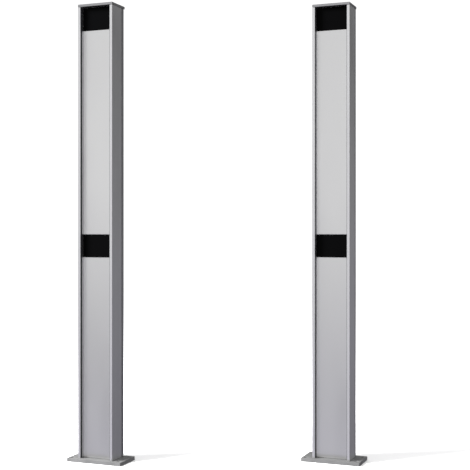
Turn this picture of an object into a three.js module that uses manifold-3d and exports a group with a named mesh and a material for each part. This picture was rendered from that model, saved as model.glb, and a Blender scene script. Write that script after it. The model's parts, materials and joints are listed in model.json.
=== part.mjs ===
// Security gate: a pair of free-standing sensor posts, each bolted to the floor through its own base plate.
//
// Every post is an aluminium extrusion with two front lips. Between the lips, set back in a recess, lie two
// panels and two black sensor windows. A pivoting door closes the back, over the sensors and the electronics.
//
// Millimetres, +Z up. The origin is on the floor, midway between the posts, and both posts face -Y.
// The right post stands further back, so the line that joins the posts is turned away from X.
// Inside buildPost x and y are counted from the middle of that post's column, and z from the floor.

import * as THREE from "three";
import { mergeVertices } from "three/addons/utils/BufferGeometryUtils.js";
import Module from "manifold-3d";

const wasm = await Module();
wasm.setup();

// Driving dimensions

const spacing = 775; // between the middles of the two base plates
const stagger = THREE.MathUtils.degToRad(22); // between X and the line that joins the posts
const gap = 0.3; // between pieces that touch
const past = 1; // how far a cutting tool runs past the face that it cuts
const roundSides = 20; // of holes and turned pieces
const smallSides = 12; // of the smallest ones

const plate = { width: 200, depth: 106, thickness: 12, corner: 3 };
const anchor = { radius: 6, fromSide: 14, fromEnd: 17 };
const post = { width: 127, depth: 90, top: 1512, behindPlateMiddle: 4 };
const wall = 2.5; // of the extrusion
const lip = { width: 9, chamber: 4 };
const recess = 20; // from the lips' front faces back to the panels
const panelThickness = 3;
const web = 3;
const cap = { thickness: 8, shadowGap: 1, boss: 8, bossInset: 14, screwRadius: 2.2 };
const windowHeight = 76;
const middleWindowCentre = 714;
const door = { edge: 24.4, skin: 2, corner: 10, bottom: 16, top: 1502 }; // edge: its side walls start there

// Levels and faces worked out from them

const half = post.width / 2;
const front = -post.depth / 2;
const back = post.depth / 2;
const recessHalf = half - lip.width;
const panelFront = front + recess;
const webFront = panelFront + panelThickness + gap;
const webBack = webFront + web;
const columnBack = 22; // where the extrusion ends and the door begins
const rearFlange = { reach: 12, front: columnBack - wall };
const columnBottom = plate.thickness + gap;
const capBottom = post.top - cap.thickness;
const columnTop = capBottom - cap.shadowGap;
const topWindowCentre = columnTop - windowHeight / 2;

// The sensor modules, one behind each window

const sensor = { width: 64, height: 44, front: -12, back: 10, axisY: -1, pivotRadius: 3, pivotEnd: 37 };
const lens = { radius: 11, front: -18, rim: 2 };
const bracket = { height: 40, skin: 2, armX: 34, footReach: 14, strapY: 15, running: 0.4 };
const webOpening = { width: 84, height: 60 };

// The door's pivots and its lock

const pivot = { x: -half + 7, y: back - 9, radius: 2.5, collar: 4.2, holeDepth: 6, inDoor: 12, head: 6 };
const lock = { x: 36, z: 900, bodyRadius: 7.5, bodyLength: 21, headRadius: 10, head: 2, plugRadius: 4.5 };
const keyway = { width: 1.4, height: 6, depth: 8 };
const cam = { width: 11, reach: 22, thickness: 2, front: 16.8, holeRadius: 3.3, clearance: 1 };

// The electronics and the foot

const chassis = { halfWidth: 48, bottom: 100, top: 490, front: -13, skin: 1.5, inset: 10 };
const board = { halfWidth: 42, bottom: 320, top: 470, front: -5, thickness: 1.6, inset: 6 };
const spacer = { radius: 4, boardRadius: 3, root: 0.5 };
const terminals = { halfWidth: 30, bottom: 326, height: 16, depth: 12 };
const supply = { left: -40, right: 30, bottom: 110, top: 265, back: 16 };
const sounder = { radius: 14, depth: 11, z: 1385, mouth: 3, mouthDepth: 3 };
const foot = { halfWidth: 50, skin: 5, depth: 36, height: 60 };
const cableHole = { y: 2, plateRadius: 12, footRadius: 8.4 };
const gland = { bore: 5, thread: 8, body: 11, dome: 8, seat: 8, bodyHeight: 12, domeHeight: 10 };
const stud = { x: 34, y: 6, radius: 3, height: 22, nutRadius: 5.5, nutHeight: 5 };
const wire = { radius: 2.2, sides: 8, sideX: 54 };
const topWire = { laneY: -12, boardX: 34, boardZ: 452, steps: 56 };
const middleWire = { laneY: 1, boardX: 20, boardZ: 436, steps: 26 };
const supplyWire = { x: -15, steps: 14 };

// Finishes

const finishes = {
  satinAluminium: { color: 0xc9c9cc, roughness: 0.38, metalness: 0.9 },
  panelAluminium: { color: 0xd0d0d3, roughness: 0.45, metalness: 0.85 },
  darkAluminium: { color: 0x8e9093, roughness: 0.42, metalness: 0.9 },
  brushedSteel: { color: 0xa9a9ac, roughness: 0.42, metalness: 0.9 },
  blackAcrylic: { color: 0x050505, roughness: 0.06, metalness: 0.0 },
  zincPlate: { color: 0xb4b6b8, roughness: 0.35, metalness: 0.9 },
  chrome: { color: 0xd6d6d8, roughness: 0.12, metalness: 1.0 },
  blackPlastic: { color: 0x1a1b1d, roughness: 0.6, metalness: 0.0 },
  darkLens: { color: 0x16070c, roughness: 0.08, metalness: 0.0 },
  boardGreen: { color: 0x14512c, roughness: 0.5, metalness: 0.0 },
  terminalGreen: { color: 0x2a7d46, roughness: 0.55, metalness: 0.0 },
  cableGrey: { color: 0x54565a, roughness: 0.65, metalness: 0.0 },
  brass: { color: 0xb08d4a, roughness: 0.35, metalness: 0.9 },
};

function piece(name, geometry, finish) {
  const mesh = new THREE.Mesh(geometry, new THREE.MeshStandardMaterial(finishes[finish]));
  mesh.name = name;
  return mesh;
}

// Joining and cutting

function toSolid(geometry) {
  const bare = geometry.clone();
  bare.deleteAttribute("normal");
  bare.deleteAttribute("uv");
  const merged = mergeVertices(bare, 1e-4);
  const vertProperties = new Float32Array(merged.attributes.position.array);
  const triVerts = new Uint32Array(merged.index.array);
  return new wasm.Manifold(new wasm.Mesh({ numProp: 3, vertProperties, triVerts }));
}

function toGeometry(solid) {
  const mesh = solid.getMesh();
  const geometry = new THREE.BufferGeometry();
  geometry.setAttribute("position", new THREE.BufferAttribute(mesh.vertProperties, 3));
  geometry.setIndex(new THREE.BufferAttribute(mesh.triVerts, 1));
  return geometry;
}

function cut(geometry, ...tools) {
  return toGeometry(tools.reduce((solid, tool) => solid.subtract(toSolid(tool)), toSolid(geometry)));
}

function join(...geometries) {
  return toGeometry(geometries.map(toSolid).reduce((solid, other) => solid.add(other)));
}

// Basic shapes, each given by where it lies

function block([x0, y0, z0], [x1, y1, z1]) {
  const geometry = new THREE.BoxGeometry(x1 - x0, y1 - y0, z1 - z0);
  return geometry.translate((x0 + x1) / 2, (y0 + y1) / 2, (z0 + z1) / 2);
}

function prism(shape, z0, z1) {
  const options = { depth: z1 - z0, bevelEnabled: false, curveSegments: 4 };
  return new THREE.ExtrudeGeometry(shape, options).translate(0, 0, z0);
}

function upright(radius, x, y, z0, z1, sides = roundSides) {
  const geometry = new THREE.CylinderGeometry(radius, radius, z1 - z0, sides);
  return geometry.rotateX(Math.PI / 2).translate(x, y, (z0 + z1) / 2);
}

function alongY(radius, x, y0, y1, z, sides = roundSides) {
  return new THREE.CylinderGeometry(radius, radius, y1 - y0, sides).translate(x, (y0 + y1) / 2, z);
}

function alongX(radius, x0, x1, y, z, sides = roundSides) {
  const geometry = new THREE.CylinderGeometry(radius, radius, x1 - x0, sides);
  return geometry.rotateZ(Math.PI / 2).translate((x0 + x1) / 2, y, z);
}

// A turned piece about +Z, from its profile as [radius, height] pairs
function turned(profile) {
  const points = profile.map(([radius, height]) => new THREE.Vector2(radius, height));
  return new THREE.LatheGeometry(points, roundSides).rotateX(Math.PI / 2);
}

function outline(points) {
  return new THREE.Shape(points.map(([x, y]) => new THREE.Vector2(x, y)));
}

// A rectangle whose corners are rounded: those at its front by one radius, those at its back by another
function roundedRectangle(halfWidth, y0, y1, frontCorner, backCorner) {
  const shape = new THREE.Shape();
  shape.moveTo(-halfWidth + frontCorner, y0);
  shape.lineTo(halfWidth - frontCorner, y0);
  if (frontCorner > 0) {
    shape.absarc(halfWidth - frontCorner, y0 + frontCorner, frontCorner, -Math.PI / 2, 0);
  }
  shape.lineTo(halfWidth, y1 - backCorner);
  shape.absarc(halfWidth - backCorner, y1 - backCorner, backCorner, 0, Math.PI / 2);
  shape.lineTo(-halfWidth + backCorner, y1);
  shape.absarc(-halfWidth + backCorner, y1 - backCorner, backCorner, Math.PI / 2, Math.PI);
  shape.lineTo(-halfWidth, y0 + frontCorner);
  if (frontCorner > 0) {
    shape.absarc(-halfWidth + frontCorner, y0 + frontCorner, frontCorner, Math.PI, Math.PI * 1.5);
  }
  return shape;
}

// A round cable along a smooth route through hand-placed points
function cable(route, steps) {
  const points = route.map((point) => new THREE.Vector3(...point));
  const path = new THREE.CatmullRomCurve3(points, false, "centripetal");
  const section = new THREE.Shape();
  section.absarc(0, 0, wire.radius, 0, Math.PI * 2);
  return new THREE.ExtrudeGeometry(section, { steps, extrudePath: path, curveSegments: wire.sides / 2 });
}

// The base: plate, foot bracket, cable gland and earth stud

function basePlate() {
  const { width, depth, thickness, corner } = plate;
  const shape = roundedRectangle(width / 2, -depth / 2, depth / 2, corner, corner);
  const holes = [];
  for (const sideways of [-1, 1]) {
    for (const lengthways of [-1, 1]) {
      const x = sideways * (width / 2 - anchor.fromSide);
      const y = lengthways * (depth / 2 - anchor.fromEnd);
      holes.push(upright(anchor.radius, x, y, -past, thickness + past));
    }
  }
  const shift = post.behindPlateMiddle;
  holes.push(upright(cableHole.plateRadius, 0, cableHole.y + shift, -past, thickness + past));
  const pivotFloor = thickness - pivot.holeDepth;
  holes.push(upright(pivot.radius + gap, pivot.x, pivot.y + shift, pivotFloor, thickness + past));
  return cut(prism(shape, 0, thickness), ...holes);
}

function footBracket() {
  const y0 = webBack + gap;
  const z0 = plate.thickness + gap;
  const floorLeg = block([-foot.halfWidth, y0, z0], [foot.halfWidth, y0 + foot.depth, z0 + foot.skin]);
  const uprightLeg = block([-foot.halfWidth, y0, z0], [foot.halfWidth, y0 + foot.skin, z0 + foot.height]);
  const hole = upright(cableHole.footRadius, 0, cableHole.y, z0 - past, z0 + foot.skin + past);
  return cut(join(floorLeg, uprightLeg), hole);
}

function cableGland() {
  const seat = plate.thickness + gap + foot.skin + gap;
  const profile = [
    [gland.bore, seat - gland.seat],
    [gland.thread, seat - gland.seat],
    [gland.thread, seat],
    [gland.body, seat],
    [gland.body, seat + gland.bodyHeight],
    [gland.dome, seat + gland.bodyHeight + gland.domeHeight],
    [gland.bore, seat + gland.bodyHeight + gland.domeHeight],
    [gland.bore, seat - gland.seat],
  ];
  return turned(profile).translate(0, cableHole.y, 0);
}

function earthStud() {
  const seat = plate.thickness + gap + foot.skin + gap;
  const profile = [
    [0, seat],
    [stud.nutRadius, seat],
    [stud.nutRadius, seat + stud.nutHeight],
    [stud.radius, seat + stud.nutHeight],
    [stud.radius, seat + stud.height],
    [0, seat + stud.height],
  ];
  return turned(profile).translate(stud.x, stud.y, 0);
}

// The column and its cap

function columnProfile() {
  const rightSide = [
    [recessHalf, front],
    [half, front],
    [half, columnBack],
    [half - rearFlange.reach, columnBack],
    [half - rearFlange.reach, rearFlange.front],
    [half - wall, rearFlange.front],
    [half - wall, webBack],
  ];
  const leftSide = rightSide.map(([x, y]) => [-x, y]).reverse();
  const shape = outline([[recessHalf, webFront], ...rightSide, ...leftSide, [-recessHalf, webFront]]);
  for (const side of [-1, 1]) {
    const outer = side * (half - wall);
    const inner = side * (half - wall - lip.chamber);
    const y0 = front + wall;
    const y1 = webFront - wall;
    shape.holes.push(outline([[inner, y0], [outer, y0], [outer, y1], [inner, y1]]));
  }
  return shape;
}

function webCutout(centre) {
  const across = webOpening.width / 2;
  const up = webOpening.height / 2;
  return block([-across, webFront - past, centre - up], [across, webBack + past, centre + up]);
}

function column() {
  const bar = prism(columnProfile(), columnBottom, columnTop);
  return cut(bar, webCutout(topWindowCentre), webCutout(middleWindowCentre));
}

// A lid with a boss below it that locates it in the column, and a screw hole over each lip
function topCap() {
  const lid = block([-half, front, capBottom], [half, back, post.top]);
  const bossX = half - cap.bossInset;
  const bossFront = webBack + cap.shadowGap;
  const boss = block([-bossX, bossFront, capBottom - cap.boss], [bossX, rearFlange.front, capBottom + past]);
  const screwX = half - wall - lip.chamber / 2;
  const screwY = (front + webFront) / 2;
  const holes = [-screwX, screwX].map((x) => {
    return upright(cap.screwRadius, x, screwY, capBottom - past, post.top + past, smallSides);
  });
  holes.push(upright(pivot.radius + gap, pivot.x, pivot.y, capBottom - past, capBottom + pivot.holeDepth));
  return cut(join(lid, boss), ...holes);
}

// What lies in the recess

function recessPlate(z0, z1) {
  const across = recessHalf - gap;
  return block([-across, panelFront, z0], [across, panelFront + panelThickness, z1]);
}

function windowPlate(centre) {
  return recessPlate(centre - windowHeight / 2 + gap, centre + windowHeight / 2 - gap);
}

// The sensor modules

function sensorBracket(centre) {
  const { armX, skin, footReach, strapY } = bracket;
  const footBack = webBack + gap + skin;
  const rightHalf = [
    [armX + footReach, webBack + gap],
    [armX + footReach, footBack],
    [armX + skin, footBack],
    [armX + skin, strapY + skin],
  ];
  const inside = [
    [armX, strapY],
    [armX, webBack + gap],
  ];
  const mirrored = (points) => points.map(([x, y]) => [-x, y]).reverse();
  const shape = outline([...rightHalf, ...mirrored(rightHalf), ...mirrored(inside), ...inside]);
  const strap = prism(shape, centre - bracket.height / 2, centre + bracket.height / 2);
  const reach = armX + skin + past;
  return cut(strap, alongX(sensor.pivotRadius + bracket.running, -reach, reach, sensor.axisY, centre));
}

function sensorHousing(centre) {
  const across = sensor.width / 2;
  const up = sensor.height / 2;
  const body = block([-across, sensor.front, centre - up], [across, sensor.back, centre + up]);
  return join(body, alongX(sensor.pivotRadius, -sensor.pivotEnd, sensor.pivotEnd, sensor.axisY, centre));
}

// A lens with an upright rim and an elliptical crown
function sensorLens(centre) {
  const rimTop = sensor.front - gap - lens.front - lens.rim;
  const crown = new THREE.EllipseCurve(0, rimTop, lens.radius, lens.rim, 0, Math.PI / 2);
  const profile = [[0, 0], [lens.radius, 0], ...crown.getPoints(4).map(({ x, y }) => [x, y])];
  return turned(profile).rotateX(Math.PI / 2).translate(0, sensor.front - gap, centre);
}

// The door, its pivots and its lock

function rearDoor() {
  const outside = prism(roundedRectangle(half, door.edge, back, 0, door.corner), door.bottom, door.top);
  const innerCorner = door.corner - door.skin;
  const hollow = roundedRectangle(half - door.skin, door.edge - past, back - door.skin, 0, innerCorner);
  const inside = prism(hollow, door.bottom + door.skin, door.top - door.skin);
  const through = door.skin + past;
  const pivotHoles = [door.bottom, door.top].map((z) => {
    return upright(pivot.radius + gap, pivot.x, pivot.y, z - through, z + through);
  });
  const lockHole = alongY(lock.bodyRadius + gap, lock.x, back - through, back + past, lock.z);
  return cut(outside, inside, ...pivotHoles, lockHole);
}

function lowerPivotPin() {
  const bottom = plate.thickness - pivot.holeDepth + gap;
  const profile = [
    [0, bottom],
    [pivot.radius, bottom],
    [pivot.radius, columnBottom],
    [pivot.collar, columnBottom],
    [pivot.collar, door.bottom - gap],
    [pivot.radius, door.bottom - gap],
    [pivot.radius, door.bottom + pivot.inDoor],
    [0, door.bottom + pivot.inDoor],
  ];
  return turned(profile).translate(pivot.x, pivot.y, 0);
}

function upperPivotPin() {
  const headTop = door.top - door.skin - gap;
  const profile = [
    [0, headTop - pivot.head],
    [pivot.collar, headTop - pivot.head],
    [pivot.collar, headTop],
    [pivot.radius, headTop],
    [pivot.radius, capBottom + pivot.holeDepth - gap],
    [0, capBottom + pivot.holeDepth - gap],
  ];
  return turned(profile).translate(pivot.x, pivot.y, 0);
}

// A piece turned about +Z whose zero height ends up on the door's outer face, its heights pointing backwards
function onDoor(geometry) {
  return geometry.rotateX(-Math.PI / 2).translate(lock.x, back, lock.z);
}

function lockBody() {
  const bore = lock.plugRadius + gap;
  const profile = [
    [bore, -lock.bodyLength],
    [lock.bodyRadius, -lock.bodyLength],
    [lock.bodyRadius, gap],
    [lock.headRadius, gap],
    [lock.headRadius, gap + lock.head],
    [bore, gap + lock.head],
    [bore, -lock.bodyLength],
  ];
  return onDoor(turned(profile));
}

// The turning core, with the keyway at its outer end and a thin shank for the cam at its inner end
function lockPlug() {
  const shank = cam.holeRadius - gap;
  const shankEnd = cam.front - cam.clearance - back;
  const shoulder = cam.front + cam.thickness + cam.clearance - back;
  const profile = [
    [0, shankEnd],
    [shank, shankEnd],
    [shank, shoulder],
    [lock.plugRadius, shoulder],
    [lock.plugRadius, lock.head],
    [0, lock.head],
  ];
  const face = back + lock.head;
  const slot = block(
    [lock.x - keyway.width / 2, face - keyway.depth, lock.z - keyway.height / 2],
    [lock.x + keyway.width / 2, face + past, lock.z + keyway.height / 2],
  );
  return cut(onDoor(turned(profile)), slot);
}

function lockCam() {
  const camBack = cam.front + cam.thickness;
  const across = cam.width / 2;
  const top = lock.z + cam.reach;
  const arm = block([lock.x - across, cam.front, lock.z - across], [lock.x + across, camBack, top]);
  return cut(arm, alongY(cam.holeRadius, lock.x, cam.front - past, camBack + past, lock.z));
}

// The electronics on their chassis

// A sheet standing off the web on four spacers, with four more behind it that carry the board
function chassisPlate() {
  const { halfWidth, bottom, top, skin, inset } = chassis;
  const plateBack = chassis.front + skin;
  const parts = [block([-halfWidth, chassis.front, bottom], [halfWidth, plateBack, top])];
  for (const side of [-1, 1]) {
    for (const z of [bottom + inset, top - inset]) {
      const x = side * (halfWidth - inset);
      parts.push(alongY(spacer.radius, x, webBack + gap, chassis.front + spacer.root, z, smallSides));
    }
    for (const z of [board.bottom + board.inset, board.top - board.inset]) {
      const x = side * (board.halfWidth - board.inset);
      parts.push(alongY(spacer.boardRadius, x, plateBack - spacer.root, board.front - gap, z, smallSides));
    }
  }
  return join(...parts);
}

function controllerBoard() {
  const { halfWidth, bottom, top, thickness } = board;
  return block([-halfWidth, board.front, bottom], [halfWidth, board.front + thickness, top]);
}

function terminalBlock() {
  const { halfWidth, bottom, height, depth } = terminals;
  const y0 = board.front + board.thickness + gap;
  return block([-halfWidth, y0, bottom], [halfWidth, y0 + depth, bottom + height]);
}

function powerSupply() {
  const y0 = chassis.front + chassis.skin + gap;
  return block([supply.left, y0, supply.bottom], [supply.right, supply.back, supply.top]);
}

function sounderCan() {
  const profile = [
    [0, 0],
    [sounder.radius, 0],
    [sounder.radius, sounder.depth],
    [sounder.mouth, sounder.depth],
    [sounder.mouth, sounder.depth - sounder.mouthDepth],
    [0, sounder.depth - sounder.mouthDepth],
  ];
  return turned(profile).rotateX(-Math.PI / 2).translate(0, webBack + gap, sounder.z);
}

// Each sensor's cable leaves along the module's tilt axis, so that tilting only twists it. It runs down
// its own lane beside the chassis, then turns in to meet the board's back face.
function sensorCable(centre, { laneY, boardX, boardZ, steps }) {
  const start = sensor.pivotEnd + gap;
  const boardBack = board.front + board.thickness + gap;
  const route = [
    [start, sensor.axisY, centre],
    [start + 6, sensor.axisY, centre],
    [wire.sideX - 2, (sensor.axisY + laneY) / 2, centre - 12],
    [wire.sideX, laneY, centre - 40],
    [wire.sideX, laneY, centre - 60],
    [wire.sideX, laneY, boardZ + 70],
    [wire.sideX, laneY, boardZ + 50],
    [wire.sideX - 3, laneY + 6, boardZ + 18],
    [boardX + 3, boardBack + 13, boardZ + 3],
    [boardX, boardBack + 6, boardZ],
    [boardX, boardBack, boardZ],
  ];
  return cable(route, steps);
}

// From the top of the power supply up to the terminals
function supplyCable() {
  const y = board.front + board.thickness + gap + terminals.depth / 2;
  const middle = (supply.top + terminals.bottom) / 2;
  const route = [
    [supplyWire.x - 5, y, supply.top + gap],
    [supplyWire.x - 5, y, supply.top + 14],
    [supplyWire.x, y + 2, middle],
    [supplyWire.x + 5, y, terminals.bottom - 14],
    [supplyWire.x + 5, y, terminals.bottom - gap],
  ];
  return cable(route, supplyWire.steps);
}

// One post, built standing on the middle of its base plate

function buildPost(side) {
  const lowerPanelTop = middleWindowCentre - windowHeight / 2;
  const upperPanelBottom = middleWindowCentre + windowHeight / 2;
  const upperPanelTop = topWindowCentre - windowHeight / 2;
  const standing = new THREE.Group();
  standing.position.y = post.behindPlateMiddle;
  standing.add(
    piece(`${side}_foot_bracket`, footBracket(), "zincPlate"),
    piece(`${side}_cable_gland`, cableGland(), "blackPlastic"),
    piece(`${side}_earth_stud`, earthStud(), "brass"),
    piece(`${side}_column`, column(), "satinAluminium"),
    piece(`${side}_top_cap`, topCap(), "darkAluminium"),
    piece(`${side}_lower_panel`, recessPlate(columnBottom, lowerPanelTop - gap), "panelAluminium"),
    piece(`${side}_upper_panel`, recessPlate(upperPanelBottom + gap, upperPanelTop - gap), "panelAluminium"),
    piece(`${side}_middle_window`, windowPlate(middleWindowCentre), "blackAcrylic"),
    piece(`${side}_top_window`, windowPlate(topWindowCentre), "blackAcrylic"),
    piece(`${side}_rear_door`, rearDoor(), "darkAluminium"),
    piece(`${side}_lower_pivot_pin`, lowerPivotPin(), "zincPlate"),
    piece(`${side}_upper_pivot_pin`, upperPivotPin(), "zincPlate"),
    piece(`${side}_lock_body`, lockBody(), "chrome"),
    piece(`${side}_lock_plug`, lockPlug(), "chrome"),
    piece(`${side}_lock_cam`, lockCam(), "zincPlate"),
    piece(`${side}_chassis_plate`, chassisPlate(), "zincPlate"),
    piece(`${side}_controller_board`, controllerBoard(), "boardGreen"),
    piece(`${side}_terminal_block`, terminalBlock(), "terminalGreen"),
    piece(`${side}_power_supply`, powerSupply(), "zincPlate"),
    piece(`${side}_sounder`, sounderCan(), "blackPlastic"),
    piece(`${side}_supply_cable`, supplyCable(), "cableGrey"),
    piece(`${side}_top_sensor_cable`, sensorCable(topWindowCentre, topWire), "cableGrey"),
    piece(`${side}_middle_sensor_cable`, sensorCable(middleWindowCentre, middleWire), "cableGrey"),
  );
  for (const [place, centre] of [["middle", middleWindowCentre], ["top", topWindowCentre]]) {
    standing.add(
      piece(`${side}_${place}_sensor_bracket`, sensorBracket(centre), "zincPlate"),
      piece(`${side}_${place}_sensor_housing`, sensorHousing(centre), "blackPlastic"),
      piece(`${side}_${place}_sensor_lens`, sensorLens(centre), "darkLens"),
    );
  }
  const whole = new THREE.Group();
  whole.add(piece(`${side}_base_plate`, basePlate(), "brushedSteel"), standing);
  return whole;
}

const gate = new THREE.Group();
for (const [side, direction] of [["left", -1], ["right", 1]]) {
  const whole = buildPost(side);
  const reach = (direction * spacing) / 2;
  whole.position.set(reach * Math.cos(stagger), reach * Math.sin(stagger), 0);
  gate.add(whole);
}

export default gate;
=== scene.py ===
"""Looks of the security gate: two aluminium sensor posts on bolted base plates, in a white studio."""
import json
import math

import bmesh
import bpy
from mathutils import Matrix, Vector

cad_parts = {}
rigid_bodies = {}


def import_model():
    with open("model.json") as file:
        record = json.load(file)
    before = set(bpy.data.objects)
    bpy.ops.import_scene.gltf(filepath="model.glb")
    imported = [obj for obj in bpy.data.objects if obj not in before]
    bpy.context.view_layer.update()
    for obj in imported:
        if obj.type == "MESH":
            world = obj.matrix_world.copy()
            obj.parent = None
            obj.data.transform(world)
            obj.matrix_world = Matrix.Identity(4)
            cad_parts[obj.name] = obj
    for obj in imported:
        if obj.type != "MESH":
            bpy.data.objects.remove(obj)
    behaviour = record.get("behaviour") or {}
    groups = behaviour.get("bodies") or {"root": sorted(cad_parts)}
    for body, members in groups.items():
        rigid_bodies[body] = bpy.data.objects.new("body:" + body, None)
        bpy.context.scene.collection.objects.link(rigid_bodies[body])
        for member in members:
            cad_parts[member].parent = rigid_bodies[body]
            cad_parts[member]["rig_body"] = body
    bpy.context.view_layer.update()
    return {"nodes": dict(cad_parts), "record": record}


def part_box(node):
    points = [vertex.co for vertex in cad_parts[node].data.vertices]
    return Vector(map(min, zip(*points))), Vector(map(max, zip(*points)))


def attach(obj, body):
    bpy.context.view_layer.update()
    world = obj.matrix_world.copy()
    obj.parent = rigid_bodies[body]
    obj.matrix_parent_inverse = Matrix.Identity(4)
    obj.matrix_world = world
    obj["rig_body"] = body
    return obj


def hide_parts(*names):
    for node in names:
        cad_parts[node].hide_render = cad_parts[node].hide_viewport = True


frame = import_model()

MM = 0.001
SIDES = ("left", "right")
OPENINGS = {opening["name"]: opening["box_m"] for opening in frame["record"]["physics"]["openings"]}
SLOT_OF = {part["node"]: part["material_slot"] for part in frame["record"]["subparts"]}


def in_mm(**sizes):
    """Named sizes given in mm, in metres."""
    return {name: size * MM for name, size in sizes.items()}


class Post:
    """One post. Its own frame stands on the floor under its cap's middle: x to its right, y to its back."""

    def __init__(self, side):
        low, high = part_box(f"{side}_top_cap")
        self.side = side
        self.place = Vector(((low.x + high.x) / 2, (low.y + high.y) / 2, 0))

    def name(self, part):
        return f"{self.side}_{part}"

    def body(self, part):
        return frame["nodes"][self.name(part)]["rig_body"]

    def span(self, part):
        """Lowest and highest corner of a CAD node in the post's own frame."""
        low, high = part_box(self.name(part))
        return low - self.place, high - self.place

    def centre(self, part):
        low, high = self.span(part)
        return (low + high) / 2

    def foot(self, part):
        """The middle of a CAD node's lowest level."""
        middle = self.centre(part)
        return Vector((middle.x, middle.y, self.span(part)[0].z))

    def opening(self, name):
        """The middle of one of the record's stated openings."""
        low, high = OPENINGS[self.name(name)]
        return (Vector(low) + Vector(high)) / 2 - self.place


POSTS = [Post(side) for side in SIDES]
JOINING_LINE = POSTS[1].place - POSTS[0].place
STAGGER = math.atan2(JOINING_LINE.y, JOINING_LINE.x)


def put_in_scene(item):
    bpy.context.scene.collection.objects.link(item)


# Materials

def set_inputs(node, values):
    """Sets a shader node's inputs by name."""
    for name, value in values.items():
        node.inputs[name].default_value = value


def new_material(name, color, roughness, metallic=0.0, specular=0.5, coat=0.0):
    material = bpy.data.materials.new(name)
    material.use_nodes = True
    set_inputs(material.node_tree.nodes["Principled BSDF"], {
        "Base Color": (*color, 1.0),
        "Roughness": roughness,
        "Metallic": metallic,
        "Specular IOR Level": specular,
        "Coat Weight": coat,
    })
    return material


def mapped_onto(material, texture, values):
    """Feeds a texture the object's coordinates in metres, scaled or rotated; returns its factor output."""
    nodes, links = material.node_tree.nodes, material.node_tree.links
    place = nodes.new("ShaderNodeTexCoord")
    mapping = nodes.new("ShaderNodeMapping")
    set_inputs(mapping, values)
    links.new(place.outputs["Object"], mapping.inputs["Vector"])
    links.new(mapping.outputs["Vector"], texture.inputs["Vector"])
    return texture.outputs["Fac"]


def add_noise(material, scale, stretch=(1, 1, 1), detail=3.0):
    """The factor of a noise texture, stretched along the axes."""
    noise = material.node_tree.nodes.new("ShaderNodeTexNoise")
    set_inputs(noise, {"Scale": scale, "Detail": detail})
    return mapped_onto(material, noise, {"Scale": stretch})


def remapped(tree, value, low, high, new_low=0.0, new_high=1.0):
    """Turns a value between low and high into one between new_low and new_high."""
    node = tree.nodes.new("ShaderNodeMapRange")
    set_inputs(node, {"From Min": low, "From Max": high, "To Min": new_low, "To Max": new_high})
    tree.links.new(value, node.inputs["Value"])
    return node.outputs["Result"]


def add_range(material, factor, low, high, spread=0.5):
    """Turns a noise factor, within its spread about a half, into a number between low and high."""
    return remapped(material.node_tree, factor, 0.5 - spread / 2, 0.5 + spread / 2, low, high)


def vary_color(material, factor, dark, light, spread=0.5):
    """Mixes two colours by a noise factor into the base colour."""
    nodes, links = material.node_tree.nodes, material.node_tree.links
    mix = nodes.new("ShaderNodeMix")
    mix.data_type = "RGBA"
    set_inputs(mix, {"A": (*dark, 1.0), "B": (*light, 1.0)})
    links.new(add_range(material, factor, 0.0, 1.0, spread), mix.inputs["Factor"])
    links.new(mix.outputs["Result"], nodes["Principled BSDF"].inputs["Base Color"])


def vary_roughness(material, factor, low, high):
    """Lets the roughness wander between low and high by a noise factor."""
    shader = material.node_tree.nodes["Principled BSDF"]
    material.node_tree.links.new(add_range(material, factor, low, high), shader.inputs["Roughness"])


def add_bump(material, factor, height, strength):
    """Adds relief of the given height in metres, on top of any relief that is already there."""
    nodes, links = material.node_tree.nodes, material.node_tree.links
    normal = nodes["Principled BSDF"].inputs["Normal"]
    bump = nodes.new("ShaderNodeBump")
    set_inputs(bump, {"Distance": height, "Strength": strength})
    links.new(factor, bump.inputs["Height"])
    if normal.is_linked:
        links.new(normal.links[0].from_socket, bump.inputs["Normal"])
    links.new(bump.outputs["Normal"], normal)


def satin_aluminium():
    """Bead-blasted and anodised extrusion: a fine even grain, faint drawing lines along Z, handling marks."""
    material = new_material("satin_aluminium", (0.85, 0.85, 0.86), 0.38, metallic=1.0)
    vary_color(material, add_noise(material, 6, (1, 1, 0.3)), (0.83, 0.83, 0.84), (0.87, 0.87, 0.88))
    vary_roughness(material, add_noise(material, 14, (1, 1, 0.4), 5), 0.34, 0.43)
    add_bump(material, add_noise(material, 1500, (1, 1, 0.004), 2), 0.01 * MM, 0.5)
    add_bump(material, add_noise(material, 4000, detail=1), 0.006 * MM, 0.5)
    return material


def panel_aluminium():
    """Anodised panel sheet, a little finer than the extrusion, with its grain along Z."""
    material = new_material("panel_aluminium", (0.79, 0.79, 0.79), 0.32, metallic=1.0)
    vary_color(material, add_noise(material, 5, (1, 1, 0.3)), (0.775, 0.775, 0.775), (0.805, 0.805, 0.805))
    vary_roughness(material, add_noise(material, 10, (1, 1, 0.3), 5), 0.28, 0.36)
    add_bump(material, add_noise(material, 2200, (1, 1, 0.006), 2), 0.012 * MM, 0.6)
    return material


def dark_aluminium():
    """Cap and door: the same satin finish in a darker grey."""
    material = new_material("dark_aluminium", (0.46, 0.46, 0.47), 0.40, metallic=1.0)
    vary_color(material, add_noise(material, 6, (1, 1, 0.3)), (0.44, 0.44, 0.45), (0.48, 0.48, 0.49))
    vary_roughness(material, add_noise(material, 14, (1, 1, 0.4), 5), 0.36, 0.45)
    add_bump(material, add_noise(material, 1500, (1, 1, 0.004), 2), 0.01 * MM, 0.5)
    return material


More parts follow.
